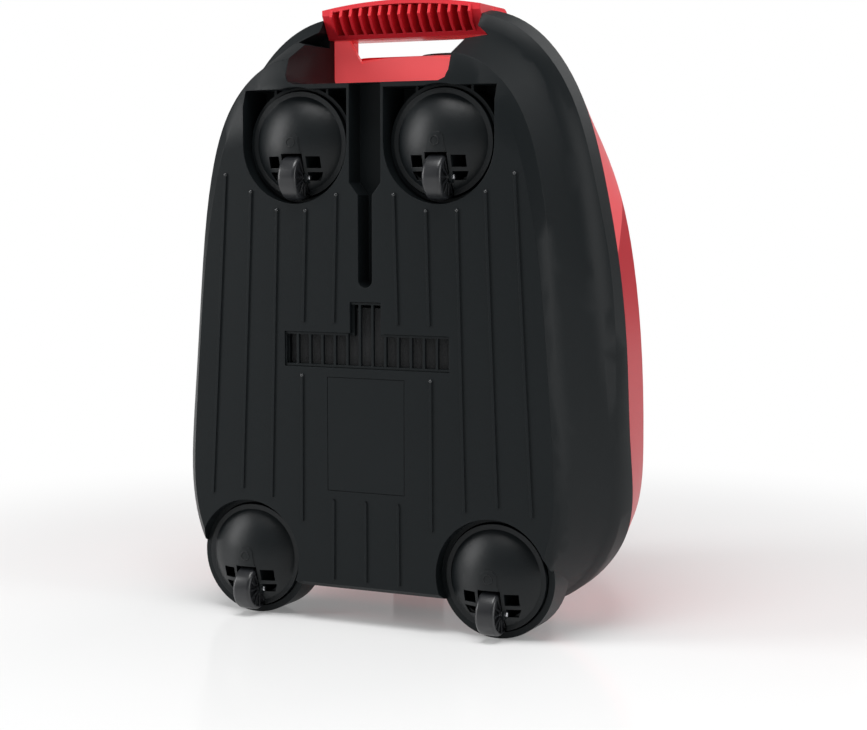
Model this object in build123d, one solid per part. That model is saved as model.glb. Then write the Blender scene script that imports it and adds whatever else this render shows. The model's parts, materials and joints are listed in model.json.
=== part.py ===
from build123d import *
import math
import os

os.makedirs("parts", exist_ok=True)

# Compact bagged cylinder vacuum cleaner, parked upright on its rear end.
# Millimetres. +Z runs up the machine from its rear end to its carry handle, X goes across it,
# and the underside with the four casters faces -Y. The floor it is parked on is z = 0.

# ---------------------------------------------------------------- driving dimensions
WALL = 3.0                # wall of the moulded shells
GAP = 0.4                 # visible seam between two shells
SNUG = 0.15               # gap between fixed pieces that slide together
RIM_Y = 62.0              # seam between the black base and the red ring
SEAM_Y = 94.0             # seam between the red ring and the covers above it
TOP_Y = 221.0             # flat top of the covers
SPLIT_Z = 151.0           # seam between the lid and the rear cover

CASTER_PIVOT_Z = (286.0, 36.0)     # front pair, rear pair
CASTER_PIVOT_X = (47.0, 80.7)
DISC_R = 31.3             # caster housing, outer radius
DISC_RIM_Y = 6.7          # face of its rim
DOME_RISE = 10.9          # its dome stands this far out of the rim
DOME_R = 28.3             # foot of the dome
DISC_WALL = 2.2
POCKET_R = 35.0           # pocket in the underside around a housing
POCKET_DEPTH = 28.0
LEDGE_Y = 9.0             # ledge that the housing turns in
LEDGE_GAP = 0.9
SKIRT_R = 36.0            # ring round a rear pocket, which the machine is parked on
CUP_WALL = 2.5
POCKET_TOP_Z = 318.3
POCKET_IN_X = 11.9
WHEEL_R = 13.2
WHEEL_W = 12.0
WHEEL_DROP = 19.6         # axle below the housing's pivot
WHEEL_Y = 2.6
WHEEL_SWEEP = 33.6        # room the wheel needs when its housing turns
FORK_GAP = 1.0            # wheel to fork, each side
AXLE_R = 1.6
AXLE_L = 20.0
RUN_FIT = 0.05            # radial clearance of a turning fit
STUD_R = 3.0
HUB_R = 5.0

NOTCH_X = 53.0            # half width of the handle recess
PANEL_T = 2.5
RECESS_Z = 321.0          # floor of the recess in the base
PANEL_LINE = ((RIM_Y, 340.0), (SEAM_Y, 343.0))   # y, z of the red sill behind it, at its middle
PANEL_CROWN = (3.6, 2.4)  # how far the sill's sides drop below its middle at those depths
HOLE_X = (34.0, 43.5)     # half width of the finger hole, low and high
HOLE_Z = 336.8            # its lower corners
GRIP_LOW_Z = 351.0
GRIP_TOP_Z = 373.0
GRIP_ARC_R = 302.0
GRIP_FRONT_Y = 45.0
GRIP_MID_Y = 66.0
GRIP_BACK_Y = 88.0
RIB_COUNT = 15
RIB_PITCH = 6.6
RIB_T = 1.8

SLOT_WIDE = 10.3          # half width of the parking slot's mouth
SLOT_NARROW = 4.6
SLOT_DEPTH = 14.0
SLOT_END_Z = 206.7        # centre of its round end
GRILLE_T = 1.6
GRILLE_WIDE = (54.3, 154.3, 175.2)      # half width, low, high
GRILLE_TALL = (10.2, 193.6)             # half width, high

MOTOR_X, MOTOR_Y = -55.0, 104.0
MOTOR_R = 44.0
DRUM_X, DRUM_Z = 58.0, 84.0
DRUM_R = 52.0
DRUM_LOW_Y, DRUM_HIGH_Y = 44.0, 84.0
BULKHEAD_Z = 145.0
BULKHEAD_T = 3.0
INLET_Y = 140.0
INLET_R = 18.0            # bore that takes the hose end
INLET_WALL = 4.5
HINGE_Y, HINGE_Z = TOP_Y - 4.0, SPLIT_Z
HINGE_R = 5.0
HINGE_PIN_R = 2.0
PANEL_X, PANEL_LOW_Z, PANEL_HIGH_Z = 35.0, 98.0, 139.0   # control panel on the rear cover
CONTROL_Z = 118.5
BUTTON_X, BUTTON_R = 22.5, 6.5
DIAL_R = 11.0
POST_X, POST_DZ = 26.5, 13.0        # board posts

# Outlines across the machine: depth y, then front edge (half width, z), side points, rear edge.
SOLE = (0.0, (50, 325), [(70, 319), (85, 305), (101, 265), (109.5, 215), (114.5, 160),
                         (118, 110), (116, 62), (103, 35)], (86, 24))
CREASE = (5.0, (50, 337), [(71, 331), (91, 312), (107.5, 268), (114.5, 216), (119, 160),
                           (123, 110), (121.5, 64), (108, 33)], (86, 21))
FLANK = (42.2, (50, 355.4), [(78, 344), (100, 318), (118.5, 262), (127, 216), (133, 160),
                             (138, 108), (136, 60), (117, 29)], (86, 15))
BEVEL = (48.4, (50, 363.2), [(81, 350), (105, 322), (125, 262), (134, 216), (138.5, 160),
                             (141, 107), (139, 58), (120, 28)], (86, 13))
RIM = (RIM_Y, (50, 366), [(83, 352.5), (108, 320), (126.5, 262), (135, 216), (140.5, 160),
                          (143, 107), (141, 57), (121, 29)], (86, 12))
BULGE = (SEAM_Y, (50, 362), [(76, 346), (100, 311), (123.5, 258), (133, 214), (138.5, 160),
                             (140, 107), (133, 59), (113, 34)], (80, 17))
COVER_FOOT = (SEAM_Y, (46, 343), [(70, 336), (97, 305), (121.5, 256), (132, 213), (137.5, 160),
                                  (139, 107), (132, 60), (112, 35)], (79, 18))
COVER_LOW = (125.0, (42, 341), [(66, 331), (87, 298), (108, 250), (117, 210), (122.5, 160),
                                (124, 107), (118, 65), (101, 42)], (72, 24))
COVER_MID = (160.0, (36, 330), [(56, 320), (72, 289), (89, 243), (96.5, 206), (101, 160),
                                (102, 107), (97, 72), (84, 52)], (60, 36))
COVER_HIGH = (192.0, (27, 308), [(44, 299), (56, 272), (68, 232), (73, 200), (76, 158),
                                 (76, 110), (72, 82), (62, 65)], (45, 53))
COVER_EDGE = (210.0, (19, 281), [(33, 275), (42, 254), (51, 222), (54.5, 195), (56, 158),
                                 (56, 115), (52.5, 92), (45, 79)], (33, 70))
COVER_TOP = (TOP_Y, (12, 247), [(21, 243), (29, 232), (37, 208), (41, 188), (42.5, 157),
                                (42, 124), (39.5, 107), (34, 97)], (24, 91))
MIDDLE_Z = 190.0          # outlines shrink about this height
HALF_X, HALF_Z = 140.0, 172.0


def outline(station, inset=0.0, y=None):
    """Closed outline across the machine at one depth, pulled in by inset."""
    depth, front, side, rear = station
    depth = depth if y is None else y
    sx, sz = 1 - inset / HALF_X, 1 - inset / HALF_Z

    def place(p, sign):
        return Vector(sign * p[0] * sx, depth, MIDDLE_Z + (p[1] - MIDDLE_Z) * sz)

    sides = []
    for sign in (1, -1):
        points = [place(p, sign) for p in [front, *side, rear]]
        sides.append(Spline(*points))
    ends = [Line(place(p, 1), place(p, -1)) for p in (front, rear)]
    return Wire([sides[0], ends[1], sides[1], ends[0]])


def skin(stations, ruled, inset=0.0, depths=None):
    """Solid through several outlines."""
    depths = depths or [s[0] for s in stations]
    wires = [outline(s, inset, y) for s, y in zip(stations, depths)]
    return Solid.make_loft(wires, ruled)


def slab(station, inset, low_y, high_y, hole_inset=None):
    """Flat slab with a station's outline, or a flat ring when hole_inset is given."""
    face = Face(outline(station, inset, low_y))
    if hole_inset is not None:
        face = Face(outline(station, inset, low_y), [outline(station, hole_inset, low_y)])
    return Solid.extrude(face, Vector(0, high_y - low_y, 0))


def block(x, y, z):
    """Box from three (low, high) pairs."""
    size = [b - a for a, b in (x, y, z)]
    return Pos(*[(a + b) / 2 for a, b in (x, y, z)]) * Box(*size)


def pair(x, y, z):
    """The same box on both sides of the symmetry plane."""
    return block(x, y, z) + block((-x[1], -x[0]), y, z)


def rod(axis, centre, radius, low, high):
    """Cylinder along a row axis; centre gives the other two coordinates in X, Y, Z order."""
    half, turn = (low + high) / 2, {"X": (0, 90, 0), "Y": (-90, 0, 0), "Z": (0, 0, 0)}[axis]
    a, b = centre
    at = {"X": (half, a, b), "Y": (a, half, b), "Z": (a, b, half)}[axis]
    return Pos(*at) * Rot(*turn) * Cylinder(radius, high - low)


def plate_xz(points, low_y, high_y):
    """Prism of a closed polygon of (x, z) points, between two depths."""
    face = make_face(Polyline(*[(x, low_y, z) for x, z in points], close=True))
    return extrude(face, amount=high_y - low_y, dir=(0, 1, 0))


def prism_yz(points, half_x):
    """Prism of a closed polygon of (y, z) points, across the symmetry plane."""
    face = make_face(Polyline(*[(-half_x, y, z) for y, z in points], close=True))
    return extrude(face, amount=2 * half_x, dir=(1, 0, 0))


CENTRE_Y = 110.7          # middle of the machine's depth, which the written parts are centred on


def save(name, shape):
    """Write one node, centred on the machine's middle."""
    shape = shape if isinstance(shape, (Part, Compound)) else Part(shape.wrapped)
    export_step(Pos(0, -CENTRE_Y, 0) * shape, f"parts/{name}.step")


SPAN = 200.0              # longer than any half width, for cutting tools


# ---------------------------------------------------------------- the shells' inner and outer skins
BASE_STATIONS = [SOLE, CREASE, FLANK, BEVEL, RIM]
base_outer = skin(BASE_STATIONS, True)
base_inner = skin(BASE_STATIONS, True, WALL, [WALL, CREASE[0] + WALL, FLANK[0], BEVEL[0], RIM_Y + 1])
ring_outer = skin([RIM, BULGE], True)
ring_inner = skin([RIM, BULGE], True, WALL, [RIM_Y - 1, SEAM_Y + 1])
COVER_STATIONS = [COVER_FOOT, COVER_LOW, COVER_MID, COVER_HIGH, COVER_EDGE, COVER_TOP]
cover_outer = skin(COVER_STATIONS, False)
cover_inner = skin(COVER_STATIONS, False, WALL,
                   [SEAM_Y - 1, COVER_LOW[0], COVER_MID[0] - 1, COVER_HIGH[0] - 2,
                    COVER_EDGE[0] - WALL, TOP_Y - WALL])


SKY = 420.0               # above everything, for cutting tools


def sill_section(station, half_x, drop, top):
    """Section across the sill at one depth: a crowned lower edge, and a flat top
    or, when top is negative, a crowned edge that far below the panel's face."""
    (y, z), sag = PANEL_LINE[station], PANEL_CROWN[station] * (half_x / NOTCH_X) ** 2
    low = ThreePointArc((-half_x, y, z - sag - drop), (0, y, z - drop), (half_x, y, z - sag - drop))
    if top > 0:
        high = Line((half_x, y, top), (-half_x, y, top))
    else:
        high = ThreePointArc((half_x, y, z - sag), (0, y, z), (-half_x, y, z - sag))
    return Wire([low, Line(low @ 1, high @ 0), high, Line(high @ 1, low @ 0)])


def above_sill(drop, half_x):
    """The space over the sill, drop below its face."""
    return Solid.make_loft([sill_section(i, half_x, drop, SKY) for i in range(2)], True)


def handle_recess(grow):
    """Recess in the base under the handle, with a small three-cornered pocket at each side."""
    half, low, corner = NOTCH_X + grow, RECESS_Z - grow, 6.0
    points = [(-half, SKY), (-half, low + corner), (-half + 0.3 * corner, low + 0.3 * corner),
              (-half + corner, low), (half - corner, low), (half - 0.3 * corner, low + 0.3 * corner),
              (half, low + corner), (half, SKY)]
    recess = plate_xz(points, -40, RIM_Y + 0.01)
    for side in (1, -1):
        corner = [(side * 50, 357 + 2 * grow), (side * (63 + 2 * grow), 348.7), (side * 50, 345.5 - grow)]
        recess += plate_xz(corner, -40, 56 + grow)
    return recess


def ring_recess(grow):
    """Recess in the red ring: behind the front wall, over the sill."""
    wall_slot = block((-NOTCH_X - grow, NOTCH_X + grow), (RIM_Y - 1, RIM_Y + WALL), (RECESS_Z - WALL, SKY))
    return wall_slot + above_sill(PANEL_T, NOTCH_X + grow)


# ---------------------------------------------------------------- base shell
CASTERS = [("front_left", -1, 0), ("front_right", 1, 0), ("rear_left", -1, 1), ("rear_right", 1, 1)]


def pivot(side, row):
    return side * CASTER_PIVOT_X[row], CASTER_PIVOT_Z[row]


def front_pocket(side, grow, low_y, high_y):
    """D-shaped pocket: square towards the front edge, round towards the rear."""
    x, z = pivot(side, 0)
    inner, outer = side * POCKET_IN_X, side * (x * side + POCKET_R)
    low_x, high_x = sorted((inner, outer))
    half_round = rod("Y", (x, z), POCKET_R + grow, low_y, high_y)
    half_round = half_round & block((-SPAN, SPAN), (low_y, high_y), (0, POCKET_TOP_Z + grow))
    square = block((low_x - grow, high_x + grow), (low_y, high_y), (z, POCKET_TOP_Z + grow))
    return half_round + square


def slot_shape(grow, low_y, high_y):
    """Parking slot: a wide mouth that tapers to a narrow slot with a round end."""
    wide, narrow = SLOT_WIDE + grow, SLOT_NARROW + grow
    mouth_z, neck_z = 263.4, 256.0
    points = [(-wide, POCKET_TOP_Z + CUP_WALL + grow), (-wide, mouth_z), (-narrow, neck_z),
              (-narrow, SLOT_END_Z), (narrow, SLOT_END_Z), (narrow, neck_z), (wide, mouth_z),
              (wide, POCKET_TOP_Z + CUP_WALL + grow)]
    return plate_xz(points, low_y, high_y) + rod("Y", (0, SLOT_END_Z), narrow, low_y, high_y)


def cross_shape(grow, low_y, high_y):
    """Outline of the underside grille: a wide bar with a tall middle."""
    half, low, high = GRILLE_WIDE
    tall, top = GRILLE_TALL
    return (block((-half - grow, half + grow), (low_y, high_y), (low - grow, high + grow))
            + block((-tall - grow, tall + grow), (low_y, high_y), (low - grow, top + grow)))


# Long ribs on the sole: x at the upper end, upper z, x at the lower end, lower z.
SOLE_RIBS = [(18.9, 256.3, 21.0, 181), (39.5, 247.0, 41.5, 181), (59.0, 247.3, 64.0, 74),
             (76.8, 258.1, 84.5, 78), (94.5, 268.3, 105.8, 74), (42.5, 149.0, 43.0, 61),
             (21.4, 75.0, 21.8, 27)]
RIB_WIDE, RIB_PROUD = 1.7, 0.9


def sole_rib(x0, z0, x1, z1):
    """Thin moulded rib, with a pointed upper end."""
    w = RIB_WIDE / 2
    points = [(x0, z0 + w), (x0 + w, z0 - w), (x1 + w, z1), (x1 - w, z1), (x0 - w, z0 - w)]
    return plate_xz(points, -RIB_PROUD, WALL / 2)


SHELL_SCREWS = [(118, 172), (104, 262), (120, 96)]       # x of the lug's inner edge, z
LUG_W, LUG_T, SCREW_R = 12.0, 6.0, 1.9


def shell_lugs(low_y, high_y, skin_solid, clearance):
    """Screw lugs inside the shell wall, each with its hole."""
    lugs = Part()
    for x, z in SHELL_SCREWS:
        lugs += pair((x, x + SPAN / 4), (low_y, high_y), (z - LUG_W / 2, z + LUG_W / 2))
    lugs = lugs & skin_solid
    for x, z in SHELL_SCREWS:
        for side in (1, -1):
            lugs -= rod("Y", (side * (x + LUG_W / 2), z), SCREW_R + clearance, low_y - 1, high_y + 1)
    return lugs


def base_shell():
    cup_floor = POCKET_DEPTH + CUP_WALL
    body = base_outer - handle_recess(0)
    cheeks = base_inner - handle_recess(WALL)
    body -= cheeks
    added = slot_shape(CUP_WALL, 0.5, SLOT_DEPTH + CUP_WALL) + cross_shape(2, 0.5, 6)
    for _, side, row in CASTERS:
        x, z = pivot(side, row)
        if row == 0:
            added += front_pocket(side, CUP_WALL, 0.5, cup_floor)
        else:
            added += rod("Y", (x, z), POCKET_R + CUP_WALL, 0.5, cup_floor)
    body += (added & base_outer) - handle_recess(0)
    for _, side, row in CASTERS:
        x, z = pivot(side, row)
        if row == 1:
            body += rod("Y", (x, z), SKIRT_R, LEDGE_Y, cup_floor)
            body -= rod("Y", (x, z), POCKET_R, -2, LEDGE_Y)
            body -= rod("Y", (x, z), DISC_R + LEDGE_GAP, LEDGE_Y - 1, POCKET_DEPTH)
        else:
            ring = rod("Y", (x, z), POCKET_R - 0.6, LEDGE_Y, POCKET_DEPTH)
            ribs = block((x - 18.3, x - 16.7), (LEDGE_Y, POCKET_DEPTH), (z + 20, POCKET_TOP_Z))
            ribs += block((x + 16.7, x + 18.3), (LEDGE_Y, POCKET_DEPTH), (z + 20, POCKET_TOP_Z))
            body -= front_pocket(side, 0, -2, POCKET_DEPTH) + rod("Y", (x, z), WHEEL_SWEEP, -2, LEDGE_Y)
            body += (ring + ribs) - rod("Y", (x, z), DISC_R + LEDGE_GAP, LEDGE_Y - 1, POCKET_DEPTH)
        body += rod("Y", (x, z), HUB_R + 4, POCKET_DEPTH - 3, POCKET_DEPTH)
        body -= rod("Y", (x, z), STUD_R + 0.02, POCKET_DEPTH - 4, cup_floor + 1)
    body -= slot_shape(0, -2, SLOT_DEPTH)
    body -= cross_shape(0, -2, 3.0) + cross_shape(-1.6, -2, 8)
    body -= plate_xz([(-25.5, 80.6), (25.5, 80.6), (25.5, 148.8), (-25.5, 148.8)], -2, 0.5)
    for rib in SOLE_RIBS:
        x0, z0, x1, z1 = rib
        body += sole_rib(*rib) + sole_rib(-x0, z0, -x1, z1)
    body += sole_rib(0, 75, 0, 27)
    body += shell_lugs(RIM_Y - LUG_T, RIM_Y, base_outer, 0.2)
    return body


def exhaust_grille():
    """Louvre plate that fills the cross-shaped recess, with thin upright bars."""
    plate = cross_shape(-SNUG, 1.0, 3.0)
    half, low, high = GRILLE_WIDE
    tall, top = GRILLE_TALL
    pitch = 2 * half / 13
    for i in range(13):
        centre = (i - 6) * pitch
        z1 = top if abs(centre) < tall else high
        plate -= block((centre - pitch / 2 + GRILLE_T / 2, centre + pitch / 2 - GRILLE_T / 2),
                       (0, 4), (low + GRILLE_T, z1 - GRILLE_T))
    return plate


def rating_plate():
    """Blank plate in the shallow recess of the sole."""
    return block((-25.2, 25.2), (0.1, 0.5), (81.0, 148.4))


# ---------------------------------------------------------------- casters
def caster_housing(side, row):
    """Domed swivelling housing: fork, wheel slot, windows and hub."""
    sphere_r = (DOME_R ** 2 + DOME_RISE ** 2) / (2 * DOME_RISE)
    crown_y = DISC_RIM_Y - DOME_RISE
    ball_y = crown_y + sphere_r
    front = block((-SPAN, SPAN), (crown_y - 5, DISC_RIM_Y), (-SPAN, SPAN))
    dome = (Pos(0, ball_y, 0) * Sphere(sphere_r)) & front
    hollow = (Pos(0, ball_y, 0) * Sphere(sphere_r - DISC_WALL)) & block(
        (-SPAN, SPAN), (crown_y - 5, DISC_RIM_Y - 0.3), (-SPAN, SPAN))
    body = dome + rod("Y", (0, 0), DISC_R, DISC_RIM_Y, DISC_RIM_Y + 5.5)
    body -= hollow + rod("Y", (0, 0), DOME_R - DISC_WALL - 0.6, DISC_RIM_Y - 0.3, DISC_RIM_Y + 6)
    tongue = plate_xz([(-4.5, 4), (-2.5, 6), (2.5, 6), (4.5, 4), (6.6, -8), (-6.6, -8)], crown_y - 2, 2)
    raised = (Pos(0, ball_y, 0) * Sphere(sphere_r + 0.5)) & tongue
    body += raised - (Pos(0, ball_y, 0) * Sphere(sphere_r - 1))
    fork_in, fork_out = WHEEL_W / 2 + FORK_GAP, WHEEL_W / 2 + FORK_GAP + 1.6
    for low, high in ((fork_in, fork_out), (-fork_out, -fork_in)):
        cheek = block((low, high), (crown_y - 1, 16.5), (-27.5, -3))
        body += cheek & (Pos(0, ball_y, 0) * Sphere(sphere_r - 0.2))
        body += rod("X", (WHEEL_Y, -WHEEL_DROP), AXLE_R + 1.8, low, high)
    body += rod("Y", (0, 0), HUB_R, crown_y + 1.0, POCKET_DEPTH - 3.5)
    body += block((-fork_out, fork_out), (13.5, 16.5), (-6.0, -2))
    body -= block((-fork_in, fork_in), (-20, 13.2), (-40, -5.6))
    body -= rod("Y", (0, 0), STUD_R + RUN_FIT, crown_y + 3, POCKET_DEPTH)
    for sign in (1, -1):
        near = sign * (fork_out + 0.4)
        window = [(near, -7.2), (sign * 17.2, -7.2), (sign * 17.2, -14), (near, -14)]
        lower = [(near, -16.4), (sign * 17.6, -16.4), (sign * 15.4, -21.4), (near, -21.4)]
        body -= plate_xz(window, -20, DISC_RIM_Y - 0.5) + plate_xz(lower, -20, DISC_RIM_Y - 0.5)
    body -= rod("X", (WHEEL_Y, -WHEEL_DROP), AXLE_R + 0.02, -AXLE_L / 2, AXLE_L / 2)
    x, z = pivot(side, row)
    return Pos(x, 0, z) * body


def caster_wheel(side, row):
    """Small wheel with a crowned tread and ribbed hollow sides."""
    w = WHEEL_W / 2
    wheel = fillet((Rot(0, 90, 0) * Cylinder(WHEEL_R, WHEEL_W)).edges(), 2.2)
    for sign in (1, -1):
        ring = rod("X", (0, 0), WHEEL_R - 2.2, sign * w - 1.6, sign * w + 1.6)
        ring -= rod("X", (0, 0), AXLE_R + 1.8, sign * w - 2, sign * w + 2)
        for i in range(12):
            ring -= Rot(360 / 12 * i, 0, 0) * block((-WHEEL_W, WHEEL_W), (-0.5, 0.5), (0, WHEEL_R))
        wheel -= ring
    wheel -= rod("X", (0, 0), AXLE_R + RUN_FIT, -w - 1, w + 1)
    x, z = pivot(side, row)
    return Pos(x, WHEEL_Y, z - WHEEL_DROP) * wheel


def caster_axle(side, row):
    x, z = pivot(side, row)
    pin = Rot(0, 90, 0) * Cylinder(AXLE_R, AXLE_L - 0.4)
    return Pos(x, WHEEL_Y, z - WHEEL_DROP) * chamfer(pin.edges(), 0.4)


def caster_studs():
    """Pivot studs, moulded plugs that stand in the pocket floors."""
    studs = Part()
    for _, side, row in CASTERS:
        studs += rod("Y", pivot(side, row), STUD_R, 2.0, POCKET_DEPTH + CUP_WALL)
        studs += rod("Y", pivot(side, row), STUD_R + 3, POCKET_DEPTH + CUP_WALL, POCKET_DEPTH + CUP_WALL + 1.5)
    return studs


# ---------------------------------------------------------------- red ring, panel and handle
FLANGE_T, FLANGE_INSET = 2.5, WALL + 5.0


def body_ring():
    """Red ring between the base and the covers, with the cheeks that hold the handle."""
    seat = slab(COVER_FOOT, FLANGE_INSET, SEAM_Y - 4, SEAM_Y + 1)
    flange = (ring_outer & block((-SPAN, SPAN), (SEAM_Y - FLANGE_T, SEAM_Y), (0, 2 * SPAN))) - seat
    ring = (ring_outer - ring_recess(0)) - (ring_inner - ring_recess(WALL))
    ring += flange - ring_recess(0)
    ring += shell_lugs(RIM_Y, RIM_Y + LUG_T, ring_outer, -0.15)
    return ring


def front_panel():
    """Red wall behind the recess, with the finger hole, and the crowned sill that closes the ring."""
    half, low = NOTCH_X - SNUG, RECESS_Z - WALL + SNUG
    wall = block((-half, half), (RIM_Y, RIM_Y + WALL), (low, GRIP_LOW_Z))
    (x0, x1), z0 = HOLE_X, HOLE_Z
    points = [(-x1, GRIP_LOW_Z + 1), (-x0 - 2, z0 + 3), (-x0, z0), (-12, z0 + 3.1), (12, z0 + 3.1), (x0, z0),
              (x0 + 2, z0 + 3), (x1, GRIP_LOW_Z + 1)]
    wall -= plate_xz(points, RIM_Y - 1, RIM_Y + WALL + 1)
    sill = Solid.make_loft([sill_section(i, half, PANEL_T, -1) for i in range(2)], True)
    return wall + (sill & block((-half, half), (RIM_Y + 1, SEAM_Y), (0, SKY)))


def grip_arch(drop, low_y, high_y):
    """Space under the handle's crowned top, drop below it."""
    r = GRIP_ARC_R - drop
    crown = rod("Y", (0, GRIP_TOP_Z - GRIP_ARC_R), r, low_y, high_y)
    half = NOTCH_X - SNUG
    return crown & block((-half, half), (low_y, high_y), (GRIP_LOW_Z, GRIP_TOP_Z + 5))


def handle_grip():
    """Lower handle half: a channel open to the underside, crossed by short finger ribs."""
    wall = 2.6
    channel = grip_arch(0, GRIP_FRONT_Y, GRIP_MID_Y)
    pocket = grip_arch(wall, GRIP_FRONT_Y - 1, GRIP_MID_Y - wall)
    pocket &= block((-NOTCH_X + 6, NOTCH_X - 6), (0, SPAN), (GRIP_LOW_Z + wall, SPAN * 2))
    nose = [(GRIP_FRONT_Y - 2, GRIP_TOP_Z + 2), (GRIP_FRONT_Y - 2, GRIP_LOW_Z - 2), (56, GRIP_LOW_Z - 2),
            (GRIP_FRONT_Y + 1, GRIP_TOP_Z - 8), (GRIP_FRONT_Y + 1, GRIP_TOP_Z + 2)]
    grip = channel - pocket
    profile = [(GRIP_FRONT_Y + 1.5, GRIP_TOP_Z - 3), (GRIP_FRONT_Y - 0.5, GRIP_TOP_Z - 9),
               (GRIP_FRONT_Y + 4, GRIP_LOW_Z + 6), (GRIP_FRONT_Y + 9.5, GRIP_LOW_Z + 1),
               (GRIP_MID_Y - 1, GRIP_LOW_Z + 1), (GRIP_MID_Y - 1, GRIP_TOP_Z - 3)]
    grip -= prism_yz(nose, NOTCH_X + 1)
    for i in range(RIB_COUNT):
        x = (i - (RIB_COUNT - 1) / 2) * RIB_PITCH
        rib = prism_yz(profile, RIB_T / 2)
        grip += (Pos(x, 0, 0) * rib) & grip_arch(1.0, GRIP_FRONT_Y - 4, GRIP_MID_Y)
    return grip


def handle_cover():
    """Upper handle half, rounded where the palm lies."""
    cover = grip_arch(0, GRIP_MID_Y, GRIP_BACK_Y)
    rims = [e for e in cover.edges() if e.center().Y > GRIP_BACK_Y - 1 and e.length > NOTCH_X]
    return fillet(rims, 7.0)


# ---------------------------------------------------------------- lid, latch and rear cover
KNUCKLES_LID = [(20.5, 42.0)]
KNUCKLE_MID = 20.0


def hinge_groove():
    return rod("X", (HINGE_Y, HINGE_Z), HINGE_R + 1.0, -50, 50)


def knuckle(low, high):
    return rod("X", (HINGE_Y, HINGE_Z), HINGE_R, low, high)


COLLAR_R, COLLAR_Z = INLET_R + INLET_WALL + 4.5, 341.0
LATCH_X, LATCH_LOW_Y, LATCH_HIGH_Y = 18.0, 96.5, 111.0
LATCH_PIVOT_Y, LATCH_PIVOT_Z = 107.0, 336.0


def lid():
    """Hinged red lid over the bag compartment, with the hose collar's hole and the latch recess."""
    shell = cover_outer - cover_inner
    shell &= block((-SPAN, SPAN), (SEAM_Y + GAP, 2 * SPAN), (SPLIT_Z + GAP, 2 * SPAN))
    shell -= rod("Z", (0, INLET_Y), INLET_R + INLET_WALL + SNUG, 250, 400)
    shell -= rod("Z", (0, INLET_Y), COLLAR_R + SNUG, COLLAR_Z - SNUG, 400)
    recess = pair((0, LATCH_X + 0.8), (LATCH_LOW_Y - 0.8, LATCH_HIGH_Y + 0.8), (325, 360))
    shell -= recess
    ears = pair((LATCH_X + 0.8, LATCH_X + 3.2), (LATCH_PIVOT_Y - 4, LATCH_PIVOT_Y + 5), (LATCH_PIVOT_Z - 5, 345))
    shell += ears & cover_outer
    shell -= rod("X", (LATCH_PIVOT_Y, LATCH_PIVOT_Z), 1.55, -LATCH_X - 4, LATCH_X + 4)
    shell -= hinge_groove()
    for low, high in KNUCKLES_LID:
        for a, b in ((low, high), (-high, -low)):
            shell += knuckle(a, b)
            shell += block((a, b), (HINGE_Y - 2, TOP_Y - 0.5), (HINGE_Z + 4, HINGE_Z + 9))
    shell -= rod("X", (HINGE_Y, HINGE_Z), HINGE_PIN_R + RUN_FIT, -60, 60)
    return shell


def lid_latch():
    """Rocking latch key set in the lid's front, with its own pivot pins."""
    key = block((-LATCH_X, LATCH_X), (LATCH_LOW_Y, LATCH_HIGH_Y), (338.5, 343.0))
    key += block((-LATCH_X + 4, LATCH_X - 4), (LATCH_PIVOT_Y - 3, LATCH_PIVOT_Y + 3), (LATCH_PIVOT_Z - 3, 339))
    key += rod("X", (LATCH_PIVOT_Y, LATCH_PIVOT_Z), 1.5, -LATCH_X - 3, LATCH_X + 3)
    return key


def inlet_collar():
    """Hose collar in the lid: a bored tube with a flange outside."""
    tube = rod("Z", (0, INLET_Y), INLET_R + INLET_WALL, 302, 346)
    tube += rod("Z", (0, INLET_Y), COLLAR_R, COLLAR_Z, COLLAR_Z + 5)
    return tube - rod("Z", (0, INLET_Y), INLET_R, 300, 350)


def inlet_seal():
    ring = rod("Z", (0, INLET_Y), INLET_R + INLET_WALL, 298.5, 302)
    return ring - rod("Z", (0, INLET_Y), INLET_R - 1, 298, 303)


def rear_cover():
    """Fixed red cover over the motor and the cable drum."""
    shell = cover_outer - cover_inner
    shell &= block((-SPAN, SPAN), (SEAM_Y, 2 * SPAN), (0, SPLIT_Z))
    shell -= hinge_groove()
    shell += knuckle(-KNUCKLE_MID, KNUCKLE_MID)
    shell += block((-KNUCKLE_MID, KNUCKLE_MID), (HINGE_Y - 2, TOP_Y - 0.5), (HINGE_Z - 9, HINGE_Z - 4))
    shell -= rod("X", (HINGE_Y, HINGE_Z), HINGE_PIN_R + 0.02, -60, 60)
    inset = 4.5
    shell -= block((-PANEL_X + inset, PANEL_X - inset), (200, 230),
                   (PANEL_LOW_Z + inset, PANEL_HIGH_Z - inset))
    shell -= rod("Z", (CABLE_X, CABLE_Y), GLAND_R, 0, 40)
    return shell


def hinge_pin():
    return rod("X", (HINGE_Y, HINGE_Z), HINGE_PIN_R, -43, 43)


# ---------------------------------------------------------------- controls
BOARD_Y = 205.0


def control_panel():
    """Black panel on the rear cover, with button holes and board posts."""
    panel = block((-PANEL_X, PANEL_X), (TOP_Y, TOP_Y + 2), (PANEL_LOW_Z, PANEL_HIGH_Z))
    rims = [e for e in panel.edges() if abs(e.tangent_at(0).Y) > 0.9]
    panel = fillet(rims, 7)
    for side in (1, -1):
        for z in (CONTROL_Z - POST_DZ, CONTROL_Z + POST_DZ):
            panel += rod("Y", (side * POST_X, z), 2.5, BOARD_Y, TOP_Y)
            panel -= rod("Y", (side * POST_X, z), 1.2, BOARD_Y - 1, BOARD_Y + 8)
        panel -= rod("Y", (side * BUTTON_X, CONTROL_Z), BUTTON_R + 0.35, TOP_Y - 1, TOP_Y + 3)
    return panel - rod("Y", (0, CONTROL_Z), 4.05, TOP_Y - 1, TOP_Y + 3)


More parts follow.
